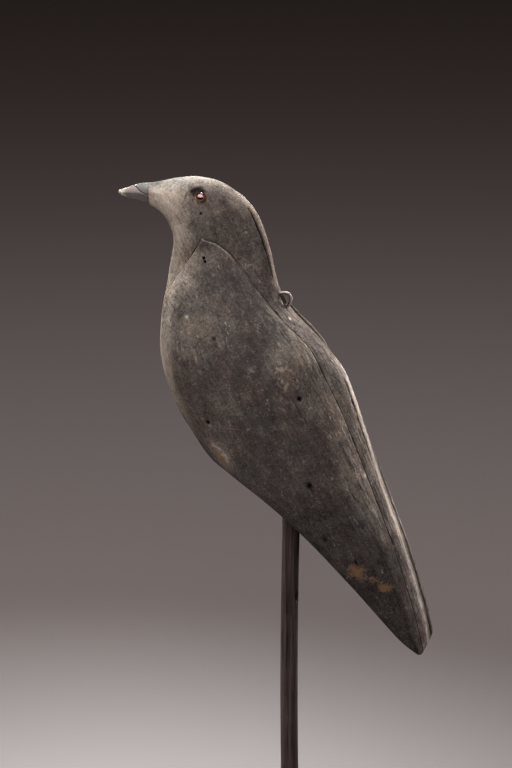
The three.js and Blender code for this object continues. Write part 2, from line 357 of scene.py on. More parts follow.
def cheek_surface(hand, t, u):
    """A cheek's surface. u runs round it: the outer face from 0 to 1, edge, inner face, edge."""
    s = station(t)
    face, f = np.floor(u), u - np.floor(u)
    faces = [face == k for k in range(4)]
    half = np.maximum(s["half"], BOARD)
    across = np.cos(np.pi * np.where(faces[0], f, np.where(faces[1], 1, 0)))
    power = np.where(across > 0, s["back_power"], s["breast_power"])
    reach = np.abs(across) * seam_share(half, power)
    bulge = half * (1 - reach**power) ** (1 / power)
    low = np.minimum(SEAM_DEPTH, s["flat"] * 0.3)
    rise = RIGHT_RISE * risen(t) * (hand == RIGHT)
    outer = s["back_inset"] + s["flat"] * (1 - across) / 2 - rise * np.maximum(0, across) ** 4
    first, last = s["back_inset"] + low, s["depth"] - s["breast_inset"] - low
    inner = BOARD + GAP
    inward = [outer, outer + (last - outer) * f, last + (first - last) * f, first + (outer - first) * f]
    edge = bulge + proud(t)
    side = [edge, edge + (inner - edge) * f, inner + 0 * f, inner + (edge - inner) * f]
    return place(s, np.select(faces, inward), hand * np.select(faces, side))


def turned(profile, count):
    """The surface that a profile of radius and height sweeps round the Z axis."""
    angle = angles(count)
    radius, height = np.transpose(profile)[:, :, None]
    return np.stack([radius * np.cos(angle), radius * np.sin(angle), height + 0 * angle], axis=-1)


def normals_of(points):
    """Unit normals of a grid of points whose columns go round."""
    down = np.gradient(points, axis=0)
    around = (np.roll(points, -1, axis=1) - np.roll(points, 1, axis=1)) / 2
    normal = np.cross(down, around)
    normal /= np.maximum(np.linalg.norm(normal, axis=-1, keepdims=True), 1e-9)
    centre = points.mean(axis=1, keepdims=True)
    return normal * np.sign(np.sum(normal * (points - centre)))


PINCH_REACH, PINCH_POWER = 6, 0.7


def pinched(t, u, spots):
    """The left cheek's grid drawn together round each spot, to give small holes enough points."""
    for x, z, *_ in spots:
        points = cheek_surface(LEFT, t, u)
        gap = spot_gap(points, x, z)
        i, j = np.unravel_index(np.argmin(gap), gap.shape)
        away = np.linalg.norm(points - points[i, j], axis=-1)
        pull = np.where(away < PINCH_REACH, 1 - (away / PINCH_REACH) ** PINCH_POWER, 0)
        t = t + (t[i, j] - t) * pull
        u = u + (u[i, j] - u) * pull
    return t, u


def spaced(*stretches):
    """Values along stretches given as (from, to, count); the last end is kept."""
    parts = [np.linspace(a, b, count, endpoint=False) for a, b, count in stretches]
    return np.append(np.concatenate(parts), stretches[-1][1])


# Meshes


def grid_faces(rows, columns):
    """The quads of a grid whose columns go round."""
    i, j = np.meshgrid(np.arange(rows - 1), np.arange(columns), indexing="ij")
    a, b = i * columns + j, i * columns + (j + 1) % columns
    return np.stack([a, b, b + columns, a + columns], axis=-1).reshape(-1, 4).tolist()


def cap_faces(ring, centre, first):
    """The triangles that close the first or the last row of a grid."""
    pairs = zip(ring.tolist(), np.roll(ring, -1).tolist())
    return [[centre, q, p] if first else [centre, p, q] for p, q in pairs]


def mesh_from_grid(name, points, marks, caps=True):
    """A smooth piece from a grid whose columns go round, with its marks as point attributes."""
    rows, columns = points.shape[:2]
    corners, faces = points.reshape(-1, 3), grid_faces(rows, columns)
    values = {label: value.reshape(-1) for label, value in marks.items()}
    for row in (0, rows - 1) if caps else ():
        ring = np.arange(columns) + row * columns
        faces += cap_faces(ring, len(corners), row == 0)
        corners = np.vstack([corners, corners[ring].mean(axis=0)])
        values = {label: np.append(value, value[ring].mean()) for label, value in values.items()}
    mesh = bpy.data.meshes.new(name)
    mesh.from_pydata(in_frame(corners).tolist(), [], faces)
    for label, value in values.items():
        mesh.attributes.new(label, "FLOAT", "POINT").data.foreach_set("value", value.astype(np.float32))
    mesh.polygons.foreach_set("use_smooth", [True] * len(faces))
    mesh.update()
    turn_outward(mesh)
    piece = bpy.data.objects.new(name, mesh)
    bpy.context.scene.collection.objects.link(piece)
    return piece


def turn_outward(mesh):
    """Flips the faces where they enclose a negative volume."""
    mesh.calc_loop_triangles()
    corners = np.empty(len(mesh.vertices) * 3)
    mesh.vertices.foreach_get("co", corners)
    corners = corners.reshape(-1, 3)
    triangles = np.empty(len(mesh.loop_triangles) * 3, int)
    mesh.loop_triangles.foreach_get("vertices", triangles)
    a, b, c = corners[triangles.reshape(-1, 3)].transpose(1, 0, 2)
    if np.sum(a * np.cross(b, c)) < 0:
        mesh.flip_normals()


def add_piece(name, points, marks, cad_node, material):
    """Makes a piece that takes the place of its CAD node."""
    piece = mesh_from_grid(name, points, marks)
    piece.data.materials.append(material)
    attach(piece, "root")
    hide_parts(cad_node)


# Relief, as depths below the plain form


def from_columns(points, columns):
    """How far each point is from the nearest of the columns, measured round the grid."""
    steps = np.linalg.norm(np.diff(points, axis=1, append=points[:, :1]), axis=-1)
    run = np.concatenate([np.zeros((len(points), 1)), np.cumsum(steps, axis=1)[:, :-1]], axis=1)
    around = steps.sum(axis=1, keepdims=True)
    gaps = [np.abs(run - run[:, column : column + 1]) for column in columns]
    return np.min([np.minimum(gap, around - gap) for gap in gaps], axis=0)


def rounding(gap, radius):
    """How deep a rounded edge lies below the plain form, at a distance from it."""
    inside = np.clip(1 - gap / radius, 0, 1)
    return radius * (1 - np.sqrt(1 - inside**2))


def closed(t):
    """Where the back's seams are filled and painted over: between the arch and the shoulder."""
    return within(t, 8, 8.9, 11.2, 12)


def seam_shade(t, gap, points):
    """How dark a seam is: a little broken up, and fainter over the shoulder."""
    broken = np.clip(0.75 + 0.6 * noise(points, 7, 59), 0.2, 1)
    faint = 1 - 0.45 * within(t, 9, 10, 12.8, 13.8)
    return (1 - step(0.08, 0.38, gap)) * step(6, 6.4, t) * broken * faint


RELAX_PASSES = 90
LEFT_ONLY = 1e6  # added to the distances of the points that are not on the left side


def relaxed(points, share):
    """The grid's points smoothed down its columns, by a share from 0 to 1."""
    for _ in range(RELAX_PASSES):
        middle = (np.roll(points, 1, axis=0) + np.roll(points, -1, axis=0)) / 2
        points = points + 0.5 * share[..., None] * (middle - points)
    return points


def holes(points, nails):
    """Round holes on the left side with a shallow dent about them, and how dark each is."""
    depth, dark = np.zeros(points.shape[:2]), np.zeros(points.shape[:2])
    other_side = np.where(points[..., 1] < 0, 0, LEFT_ONLY)
    for x, z, radius, deep in nails:
        gap = spot_gap(points, x, z) + other_side
        depth += deep * (1 - step(0.55 * radius, 1.25 * radius, gap))
        depth += 0.25 * bell(gap, 2.2 * radius)
        dark = np.maximum(dark, min(1, deep) * (1 - step(0.8 * radius, 1.5 * radius, gap)))
    return depth, dark


def crack(points, side, width, deep, line):
    """A groove along a line on the board's back, and how dark it is."""
    fine = between(line, np.linspace(0, len(line) - 1, 60))
    path = np.stack([fine[:, 0], np.full(len(fine), float(side)), fine[:, 1]], axis=-1)
    path[:, 1] += 0.5 * noise(path * (1, 0, 1), 9, 5)
    away, share = away_from(points, path)
    ends = within(share, 0, 0.12, 0.88, 1)
    wide = width * (0.35 + 0.65 * ends) * (1 + 0.3 * noise(points, 4, 6))
    inside = np.clip(1 - away / np.maximum(wide, 0.05), 0, 1)
    return deep * ends * inside, step(0, 0.7, inside) * step(0, 0.3, ends)


def carved(points, seed):
    """The gentle unevenness that a knife and rasp leave."""
    return 0.16 * (1 + noise(points, 26, seed)) + 0.06 * (1 + noise(points, 9, seed + 3))


def weathering(points, amount, seed):
    """Raised grain and small pits by an amount of weathering, and the mark for the paint there."""
    grain = noise(along_grain(points, 8), 2.2, seed, 2)
    pits = step(0.25, 0.6, noise(along_grain(points, 2.5), 2.6, seed + 5))
    return amount * (0.16 * (1 + grain) + 0.5 * pits), np.clip(amount * (1 + 0.3 * pits), 0, 1)


# Wear, as shares from 0 to 1

BACK_LINE = between(STATIONS, np.linspace(3, TAIL_END, 120))[:, 0:2]
BREAST_LINE = between(STATIONS, np.linspace(0, TAIL_END, 120))[:, 2:4]


def blob(points, x, z, wide, tall, lean=0):
    """A soft patch on the side of the bird, centred on x, z."""
    dx, dz = points[..., 0] - x, points[..., 2] - z
    c, s = math.cos(math.radians(lean)), math.sin(math.radians(lean))
    return bell(dx * c + dz * s, wide) * bell(dz * c - dx * s, tall)


def lightness(points):
    """How light the paint is: paler upwards, pale down the front from dust and a painted rim light, and
    darker on the right side.
    """
    x, y, z = np.moveaxis(points, -1, 0)
    value = 0.29 + 0.24 * step(-60, 140, z)
    for *patch, amount in PATCHES + SCUFFS:
        value = value + amount * blob(points, *patch)
    inward = x - np.interp(z, BREAST_LINE[::-1, 1], BREAST_LINE[::-1, 0])
    # A pale strip down the front: partly dust, partly painted rim light.
    front = (1 - step(8, 19, inward)) * within(z, 50, 120, 170, 205)
    value = value + 0.43 * front + 0.45 * flecks(points) + 0.08 * blob(points, 0, 122, 10, 22, 10)
    return value * (1 - 0.32 * step(13, 18, y))


def flecks(points):
    """Small flecks at the middle of the side and low on the breast."""
    where = blob(points, 0.5, 121, 6.5, 16, 10) + blob(points, -46, 62, 6, 10, 35)
    return where * step(0, 0.7, noise(points, 3.2, 47, 3))


def ochre(points):
    """Where bare wood shows brown: by the tail's underside, low on the breast and in a few specks."""
    tail = np.maximum(blob(points, 56, -20, 8, 7, -20), 0.85 * blob(points, 66, -24, 11, 4, -15))
    tail = np.maximum(tail, 0.95 * blob(points, 76, -31, 8, 4, -10))
    tail = 1.4 * tail * (1 + 0.35 * noise(points, 6, 43, 2))
    breast = 1.1 * blob(points, -45, 60, 5, 14, 35)
    return np.clip(np.maximum.reduce([tail, breast, 0.5 * flecks(points)]), 0, 1.3)


def back_band(points, width):
    """The weathered strip along the back, strongest at the seam."""
    edge_x = np.interp(-points[..., 2], -BACK_LINE[:, 1], BACK_LINE[:, 0])
    inward = edge_x - points[..., 0]
    height = step(-15, 30, points[..., 2]) * (1 - 0.6 * step(120, 170, points[..., 2]))
    return (1 - step(0.25 * width, width, inward)) * height


def crest(t, side):
    """The painted highlight strip down the middle of the board's back, from the shoulder to the tail."""
    return bell(side - 0.5, 5) * step(13.2, 14.8, t)


def painted_back_highlight(t, side):
    """How much lighter the board's back is painted where light catches it: by the nape's cracks, over the
    shoulder and down its crest.
    """
    nape = step(-6.6, -4.6, side) * within(t, 5.6, 6.4, 9.5, 11)
    shoulder = 0.04 * step(10.5, 11.5, t) + 0.14 * step(13.4, 14.4, t)
    return 0.18 * nape + 0.4 * crest(t, side) + shoulder


def warm_edge(t, gap):
    """Brown wood rubbed bare along the seams over the tail."""
    return 0.5 * bell(gap - 0.9, 0.5) * step(16.5, 18, t)


def pale_chip(points):
    """A chip that shows pale wood, in the board's back behind the loop."""
    x, y, z = np.moveaxis(points, -1, 0)
    return bell(x - 0.9, 1.1) * bell(z - 156.3, 1.1) * bell(y + 9.1, 1.4)


def grey_crown(points):
    """The top of the head, where the paint has faded to grey."""
    return step(246, 252, points[..., 2] - 0.12 * (points[..., 0] + 75))


def arch_shade(t, gap):
    """The shade in front of the left branch of the arch, which the cheek's edge partly hides."""
    return (1 - step(0.9, 1.9, gap)) * within(t, 6, 6.4, 8.6, 9.6)


def bill_shade(points):
    """The shade round the lower part of the bill's root."""
    return (1 - step(-102.8, -101.6, points[..., 0])) * (1 - step(244, 247, points[..., 2]))


def dark_round_loop(points):
    """The dark patch round the loop, at the middle of the back and to its right."""
    return np.clip(1.6 * blob(points, -6.5, 167.2, 3.2, 4.6), 0, 0.97) * step(-5, -2, points[..., 1])


def putty(points):
    """The ring of reddish putty round each eye."""
    gap = spot_gap(points, EYE_X, EYE_Z)
    return 1.3 * bell(gap - 4.6, 1) * step(-5, 2, EYE_Z + 1.5 - points[..., 2])


# Pieces


def board_grid():
    """The station and the place round the board at each point."""
    t = spaced((0, 1, 22), (1, 6, 130), (6, 12, 130), (12, 21, 130), (21, TAIL_END, 12))
    side = [(0, 0.02, 3), (0.02, 0.98, 6), (0.98, 1, 3)]
    sides = [[(start + a, start + b, count) for a, b, count in side] for start in (1, 3)]
    u = spaced((0, 1, 108), *sides[0], (2, 3, 92), *sides[1])[:-1]
    return np.meshgrid(t, u, indexing="ij")


def columns_at(u, *places):
    """The numbers of the columns whose u is one of the places."""
    return [k for k in range(u.shape[1]) if np.min(np.abs(np.array(places) - u[0, k])) < 1e-9]


def eye_hollow(points):
    """The dished seat of each eye with a deeper pocket at its upper front, and the pocket's painted shade."""
    gap = spot_gap(points, EYE_X, EYE_Z)
    dish = HOLLOW_DEPTH * np.clip(1 - (gap / HOLLOW_RADIUS) ** 2, 0, 1)
    pocket = blob(points, EYE_X - 3.2, EYE_Z + 3.1, 5.6, 4.3, 5) * (1 + 0.35 * noise(points, 3, 23))
    return dish + 1.6 * step(0.3, 0.8, pocket), step(0.25, 0.7, pocket)


def board_cuts(points):
    """The nail hole, cracks and eye seats: their depth, their darkness and the pockets' painted shade."""
    depth, dark = holes(points, HEAD_NAILS)
    for side, width, deep, line in CRACKS:
        groove, shade = crack(points, side, width, deep, line)
        depth += groove
        dark = np.maximum(dark, shade)
    hollow, pocket = eye_hollow(points)
    return depth + hollow, dark, pocket


def build_board(material):
    """The centre board: the head, the neck, the core of the body and the tail."""
    t, u = board_grid()
    points = relaxed(board_surface(t, u), within(t, 4.2, 5.2, 6.9, 7.9))
    normals = normals_of(points)
    head, back = 1 - step(5.5, 6.5, t), np.where(u < 1, 1, 0)
    worn_back = back * step(9, 12, t)
    amount = 0.15 + 0.1 * head + 0.5 * worn_back + 0.7 * blob(points, -84, 195, 10, 24)
    depth, weather = weathering(points, amount, 31)
    depth += carved(points, 11)
    back_edges, breast_edges = [from_columns(points, columns_at(u, *ends)) for ends in ((0, 1), (2, 3))]
    gap = np.where(back_edges < breast_edges, back_edges + 9 * closed(t), breast_edges)
    depth *= 1 - closed(t) * bell(back_edges, 3)
    depth += rounding(gap, 0.4) * step(6, 7, t)
    cuts, cut_shade, pocket = board_cuts(points)
    dark = np.maximum.reduce([seam_shade(t, gap, points), arch_shade(t, breast_edges), cut_shade])
    points = points - normals * (depth + cuts)[..., None]
    y = points[..., 1]
    # The crest's painted highlight is also made greyer.
    grey = 0.1 * head + 0.7 * grey_crown(points) + 0.3 * worn_back + 0.5 * back * crest(t, y)
    marks = {
        # The eye pockets are painted darker and browner, as shade.
        "light": lightness(points) + back * painted_back_highlight(t, y) - 0.45 * pocket + pale_chip(points),
        "ochre": ochre(points) * 0.5 + putty(points) + 0.2 * pocket + warm_edge(t, gap),
        "dark": np.maximum.reduce([dark, 0.8 * bill_shade(points), dark_round_loop(points)]),
        "weather": weather,
        "grey": np.clip(grey, 0, 1),
    }
    add_piece("carved_centre_board", points, marks, "centre_board", material)


OUTER_COLUMNS = 248  # columns of a cheek's outer face; the next one is its breast edge


def cheek_grid(hand):
    """The station and the place round the cheek at each point."""
    t = spaced((ARCH_STATION, 9, 110), (9, 20, 200), (20, 21, 22), (21, TAIL_END, 14))
    u = spaced((0, 1, OUTER_COLUMNS), (1, 2, 3), (2, 3, 3), (3, 4, 6))[:-1]
    t, u = np.meshgrid(t, u, indexing="ij")
    return pinched(t, u, CHEEK_NAILS) if hand == LEFT else (t, u)


def eased(depth, t, back_edge, gap, raised):
    """A cheek's depths with its edges rounded, and flush with the board where the seam is filled."""
    depth = depth + rounding(gap, proud(t) * (0.75 - 0.4 * raised))
    depth += closed(t) * proud(t) * bell(back_edge, 4) * (1 - raised)
    return np.where(raised > 0.1, depth, np.minimum(depth, proud(t) - 0.02 + 2 * gap))


def build_cheek(hand, material):
    """A side board. Nails show in the left one only, and only the right one's edge is raised."""
    t, u = cheek_grid(hand)
    points = cheek_surface(hand, t, u)
    normals = normals_of(points)
    normals[:, 0], normals[:, OUTER_COLUMNS] = normals[:, 1], normals[:, OUTER_COLUMNS - 1]
    band = back_band(points, 26)
    amount = np.clip(0.15 + 0.6 * band + 0.6 * blob(points, -84, 175, 12, 24), 0, 1)
    back_edge, breast_edge = from_columns(points, [0]), from_columns(points, [OUTER_COLUMNS])
    gap = np.minimum(back_edge, breast_edge)
    raised = risen(t) * (hand == RIGHT)
    depth, weather = weathering(points, amount, 60 + hand)
    depth = eased(depth + carved(points, 80 + hand), t, back_edge, gap, raised)
    filled = np.maximum(closed(t), step(9.5, 10.5, t) * (hand == RIGHT)) * (back_edge < breast_edge)
    hole, hole_shade = holes(points, CHEEK_NAILS)
    dark = np.maximum(seam_shade(t, gap, points) * (1 - filled), hole_shade)
    points = points - normals * np.where(u > 1, 0, depth + hole)[..., None]
    rubbed = bell(gap - 1, 0.7) * (1 - 0.7 * step(8.8, 9.8, t))
    # Painted shade on the left cheek's rounding beside the back, low towards the tail.
    shaded = bell(back_edge, 20) * (1 - step(0, 20, points[..., 2])) * (hand == LEFT)
    # The band and the rubbed edges are wear; the raised edge of the right cheek gets painted light.
    wear_and_painted_light = 0.22 * band + 0.25 * rubbed - 0.04 * shaded + 0.55 * raised * np.exp(-gap / 5)
    marks = {
        "light": lightness(points) + wear_and_painted_light,
        "ochre": ochre(points) + warm_edge(t, gap),
        "dark": np.maximum(dark, dark_round_loop(points)) + raised * (u > 3) * (u < 3.6),
        "weather": weather,
        "grey": np.clip(0.1 + 0.1 * band, 0, 1),
    }
    side = SIDE_NAMES[hand]
    add_piece(f"carved_{side}_cheek", points, marks, f"{side}_cheek", material)


# The split across the bill, from its upper edge down to its root: x, z.
BILL_SPLIT = [(-115.6, 248.4), (-112.1, 245.9), (-109.2, 243.8), (-106, 242.2), (-103, 240.8)]


def build_bill(material):
    """The bill with its split, its chipped tip and the tenon that goes into the head."""
    t = np.concatenate([[0, 1, 2], np.linspace(3, len(BILL) - 1, 120)])
    t, angle = np.meshgrid(t, angles(96), indexing="ij")
    x, top, bottom, half, power = np.moveaxis(between(BILL, t), -1, 0)
    out, up = [np.sign(way) * np.abs(way) ** (2 / power) for way in (np.cos(angle), np.sin(angle))]
    points = np.stack([x, half * out, (top + bottom) / 2 + (top - bottom) / 2 * up], axis=-1)
    normals = normals_of(points)
    x, z = points[..., 0], points[..., 2]
    split_x, split_z = np.transpose(BILL_SPLIT)
    ahead = np.interp(-z, -split_z, split_x) - x
    split = bell(ahead, 0.55) * step(240.5, 242.5, z)
    front = step(-0.2, 0.2, ahead) * step(241, 244, z)
    tip = 1 - step(-122.5, -120.5, x + 1.2 * noise(points, 2.5, 91))
    # The root, where the bill meets the face, is painted dark as shade.
    root = step(-102.6, -101.9, x)
    depth = 0.1 * (1 + noise(points, 5, 92)) + 0.05 * (1 + noise(along_grain(points, 3), 1.4, 93))
    depth += 0.6 * split + 0.3 * front + 0.15 * tip * (1 + noise(points, 1.8, 94))
    depth *= np.where(t < 3, 0, 1) * np.clip(half / 3, 0.1, 1)
    points = points - normals * depth[..., None]
    # The bill's lower part is painted darker as shade.
    low = 1 - step(238.5, 241, points[..., 2])
    marks = {"dark": np.maximum(split, root), "front": front, "tip": tip, "low": low}
    add_piece("carved_bill", points, marks, "bill", material)


def build_eye(hand, material):
    """A glass eye, flatter in front than a ball and looking a little upwards."""
    polar, angle = np.meshgrid(np.linspace(0.02, np.pi - 0.02, 60), angles(64), indexing="ij")
    centre = hand * (BOARD - HOLLOW_DEPTH + EYE_PROUD - EYE_RADIUS)
    wide, deep = [np.sign(part) * np.abs(part) ** EYE_FLATNESS for part in (np.sin(polar), np.cos(polar))]
    up, tilt = wide * np.sin(angle), math.radians(EYE_TILT)
    points = np.stack([
        EYE_X + EYE_RADIUS * wide * np.cos(angle),
        centre + hand * EYE_RADIUS * (deep * math.cos(tilt) - up * math.sin(tilt)),
        EYE_Z + EYE_RADIUS * (deep * math.sin(tilt) + up * math.cos(tilt)),
    ], axis=-1)
    from_pupil = spot_gap(points, EYE_X + 0.5, EYE_Z - 0.6) / EYE_RADIUS
    marks = {"from_pupil": from_pupil + 2 * (polar > np.pi / 2)}
    side = SIDE_NAMES[hand]
    add_piece(f"{side}_glass_eye", points, marks, f"{side}_eye", material)


def build_loop(material):
    """The bent wire at the nape, with its inner side marked."""
    t, angle = np.meshgrid(np.linspace(0, len(LOOP) - 1, 110), angles(20), indexing="ij")
    path = between(LOOP, t)
    way_x, way_z = np.moveaxis(np.gradient(path, axis=0), -1, 0)
    out = WIRE_RADIUS * np.cos(angle) / np.hypot(way_x, way_z)
    side = WIRE_RADIUS * np.sin(angle)
    points = np.stack([path[..., 0] + out * way_z, side, path[..., 1] - out * way_x], axis=-1)
    points -= normals_of(points) * (0.05 * (1 + noise(points, 1.2, 71)))[..., None]
    marks = {"inner": step(-0.3, 0.5, np.cos(angle))}
    add_piece("bent_wire_loop", points, marks, "nape_loop", material)


def build_rod(material):
    """The rod with its hewn grooves, a chip under the belly and a slight bow; its hidden ends are plain."""
    z = np.linspace(FOOT_HEIGHT - ROD_IN_FOOT - PERCH, ROD_IN_BELLY, 420)
    z, angle = np.meshgrid(z, angles(96), indexing="ij")
    free = np.clip((z + PERCH - FOOT_HEIGHT) / (PERCH - FOOT_HEIGHT), 0, 1)
    lean = -ROD_BOW * np.sin(np.pi * free)
    unit = np.stack([np.cos(angle), np.sin(angle), 0 * z], axis=-1)
    fibre = unit * ROD_RADIUS + np.stack([0 * z, 0 * z, z / 22], axis=-1)
    depth = 0.08 * (1 + noise(fibre, 2.4, 81, 2)) + 0.05 * (1 + noise(fibre * (1, 1, 2), 9, 82))
    grooves = step(0.35, 0.7, noise(fibre, 1.6, 83))
    depth += 0.2 * grooves
    chip = step(0.3, 0.8, bell(z + 52, 4.5) * bell(angle - 5.9, 0.35))
    depth += 1.3 * chip
    depth *= np.where((z > -1) | (z < FOOT_HEIGHT - PERCH + 1), 0.3, 1)
    points = unit * (ROD_RADIUS - depth)[..., None]
    points += np.stack([lean, 0 * z, z], axis=-1)
    # A strip of painted shade down the rod's side towards the tail, under the belly.
    belly_shade = 0.8 * bell(angle - 6, 0.45) * step(-58, -50, z)
    marks = {"dark": np.maximum.reduce([0.7 * grooves, chip, belly_shade]), "worn": bell(angle - 3.6, 0.6)}
    add_piece("hewn_rod", points, marks, "rod", material)


def foot_outline():
    """The foot's radius and height from the underside's middle round to the bore's bottom."""
    bore, bore_floor, top = ROD_RADIUS + GAP, FOOT_HEIGHT - ROD_IN_FOOT - GAP, FOOT_HEIGHT
    under = [(0.01, 0), (40, 0), (FOOT_RADIUS - 2, 0), (FOOT_RADIUS - 0.6, 0.6), (FOOT_RADIUS, 2)]
    turns = np.linspace(math.pi / 2, 0, 14)
    rounded = [(FOOT_RADIUS - 7 + 7 * math.sin(a), top - 8 + 8 * math.cos(a)) for a in turns]
    upper = [(radius, top) for radius in (60, 45, 30, 18, 10, bore)]
    return np.array([*under, (FOOT_RADIUS, 9), *rounded, *upper, (bore, bore_floor), (0.01, bore_floor)])


def build_foot(material):
    """The round foot with its upper edge rounded over."""
    outline = foot_outline()
    fine = [np.linspace(a, b, 4, endpoint=False) for a, b in zip(outline[:-1], outline[1:])]
    points = turned(np.vstack([*fine, outline[-1:]]), 192)
    radius, height = np.hypot(points[..., 0], points[..., 1]), points[..., 2]
    rim = bell(radius - FOOT_RADIUS + 2, 2.5) * (height > FOOT_HEIGHT - 7)
    add_piece("turned_foot", points - (0, 0, PERCH), {"rim": rim}, "base", material)


# Materials


def feed(tree, made, socket, value):
    """Links or sets one input of a node."""
    if isinstance(value, bpy.types.NodeSocket):
        tree.links.new(value, made.inputs[socket])
    else:
        made.inputs[socket].default_value = value


def node(tree, kind, inputs=None, result=0, **settings):
    """One output of a new node with its settings and inputs."""
    made = tree.nodes.new("ShaderNode" + kind)
    for name, value in settings.items():
        setattr(made, name, value)
    for socket, value in (inputs or {}).items():
        feed(tree, made, socket, value)
    return made.outputs[result]


def mark(tree, name):
    """The value of one of the mesh's marks."""
    return node(tree, "Attribute", result="Fac", attribute_name=name)


def coordinates(tree):
    """The place of each point in the frame, in metres."""
    return node(tree, "TexCoord", result="Object")


def squeezed(tree, vector, stretch):
    """Coordinates squeezed along their Z, so that noise on them runs along it."""
    return node(tree, "Mapping", {"Vector": vector, "Scale": (1, 1, 1 / stretch)})


def grained(tree, stretch):
    """Coordinates squeezed along the grain, which runs down the bird's length."""
    turn = (0, -math.atan2(GRAIN_WAY[0], GRAIN_WAY[2]), 0)
    return squeezed(tree, node(tree, "Mapping", {"Vector": coordinates(tree), "Rotation": turn}), stretch)


def cloud(tree, size, detail=4, rough=0.55, vector=None):
    """Noise with features of the given size in millimetres."""
    vector, scale = vector or coordinates(tree), 1 / (size * MM)
    return node(tree, "TexNoise", {"Vector": vector, "Scale": scale, "Detail": detail, "Roughness": rough})


def ranged(tree, value, low, high, to_low=0, to_high=1):
    """The value spread smoothly from low and high to the two new ends."""
    values = {"Value": value, "From Min": low, "From Max": high, "To Min": to_low, "To Max": to_high}
    return node(tree, "MapRange", values, interpolation_type="SMOOTHSTEP")


def maths(tree, operation, a, b=0):
    """The result of a Math node."""
    return node(tree, "Math", {0: a, 1: b}, operation=operation)


def plus(tree, total, *others):
    """The values added up."""
    for other in others:
        total = maths(tree, "ADD", total, other)
    return total


def times(tree, a, b):
    """The product of two values."""
    return maths(tree, "MULTIPLY", a, b)


def swing(tree, value, amount):
    """The value about its middle of 0.5, times the amount."""
    return times(tree, maths(tree, "SUBTRACT", value, 0.5), amount)


def mixed(tree, factor, a, b, blend="MIX"):
    """Two colours mixed by a factor."""
    return node(tree, "Mix", {0: factor, 6: a, 7: b}, 2, data_type="RGBA", blend_type=blend)


def layered(tree, colour, *layers):
    """The colour with further colours laid over it, each given as (factor, colour)."""
    for factor, layer in layers:
        colour = mixed(tree, factor, colour, layer)
    return colour


def ramp(tree, value, colours):
    """Evenly spaced colours that the value runs through from 0 to 1."""
    result = node(tree, "ValToRGB", {"Fac": value})
    elements = result.node.color_ramp.elements
    spots = np.linspace(0, 1, len(colours))
    for spot in spots[1:-1]:
        elements.new(spot)
    for element, spot, colour in zip(elements, spots, colours):
        element.position, element.color = spot, colour
    return result


def blank_material(name):
    """A new material and its node tree."""
    made = bpy.data.materials.new(name)
    made.use_nodes = True
    return made, made.node_tree


def bump(tree, height, distance, strength):
    """Fine relief, its distance in millimetres."""
    return node(tree, "Bump", {"Height": height, "Distance": distance * MM, "Strength": strength})


def dressed(made, **sockets):
    """The material with its shader's sockets linked or set; their names have _ for a space."""
    tree = made.node_tree
    for name, value in sockets.items():
        feed(tree, tree.nodes["Principled BSDF"], name.replace("_", " "), value)
    return made


def rgb(red, green, blue):
    """An opaque colour in linear light."""
    return (red, green, blue, 1)


PAINT_TONES = [
    rgb(0.014, 0.0125, 0.012),
    rgb(0.045, 0.0395, 0.0385),
    rgb(0.104, 0.091, 0.089),
    rgb(0.235, 0.207, 0.187),
    rgb(0.47, 0.418, 0.367),
    rgb(0.68, 0.62, 0.55),
]
BARE_WOOD = rgb(0.22, 0.14, 0.085)
PALE_SPECK, PIT_BLACK, CRACK_AND_SHADE_BLACK = rgb(0.42, 0.39, 0.36), rgb(0.02, 0.017, 0.016), rgb(0.008, 0.007, 0.007)
WARM_TINT, COOL_TINT = rgb(1.02, 0.995, 0.95), rgb(0.96, 1.01, 0.99)
BILL_DARK, BILL_PALE, BILL_UNDER_SHADE = rgb(0.115, 0.12, 0.117), rgb(0.215, 0.222, 0.217), rgb(0.12, 0.1, 0.09)
FRONT_DARK, FRONT_PALE = rgb(0.2, 0.17, 0.165), rgb(0.34, 0.29, 0.275)
TIP_DARK, TIP_PALE, SPLIT_AND_SHADE_BLACK = rgb(0.3, 0.27, 0.2), rgb(0.7, 0.66, 0.55), rgb(0.01, 0.01, 0.01)
IRIS_DARK, IRIS_RED = rgb(0.15, 0.018, 0.008), rgb(0.27, 0.035, 0.014)
PUPIL, EYE_RIM = rgb(0.003, 0.003, 0.003), rgb(0.05, 0.015, 0.01)
IRON, RUST, WIRE_INNER_DARK = rgb(0.55, 0.51, 0.47), rgb(0.25, 0.19, 0.15), rgb(0.045, 0.02, 0.012)
ROD_DARK, ROD_PALE, ROD_FADED = rgb(0.014, 0.011, 0.0105), rgb(0.105, 0.083, 0.078), rgb(0.11, 0.085, 0.078)
ROD_WORN, ROD_DARK_AND_SHADE = rgb(0.17, 0.135, 0.127), rgb(0.01, 0.008, 0.008)
FOOT_DARK, FOOT_PALE, FOOT_WORN = rgb(0.012, 0.011, 0.011), rgb(0.03, 0.026, 0.025), rgb(0.12, 0.08, 0.055)
FLOOR_NEAR, FLOOR_ROUND, FLOOR_FAR = rgb(0.412, 0.41, 0.417), rgb(0.415, 0.398, 0.4), rgb(0.385, 0.325, 0.31)


def scratches(tree):
    """Thin broken lines, where a stretched noise crosses its middle."""
    line = maths(tree, "ABSOLUTE", swing(tree, cloud(tree, 9, 3, 0.6, grained(tree, 3)), 1))
    parts = ranged(tree, cloud(tree, 7, 2), 0.5, 0.6)
    return times(tree, ranged(tree, line, 0.008, 0.002), parts)


def paint_tone(tree, weather, streak, *clouds):
    """How light the paint is: its mark, broken up by clouds, streaks and scratches."""
    tone = plus(tree, mark(tree, "light"), *[swing(tree, each, amount) for each, amount in clouds])
    combed = times(tree, swing(tree, streak, 1.15), plus(tree, weather, 0.15))
    return times(tree, plus(tree, tone, combed, times(tree, scratches(tree), 0.32)), 0.8)


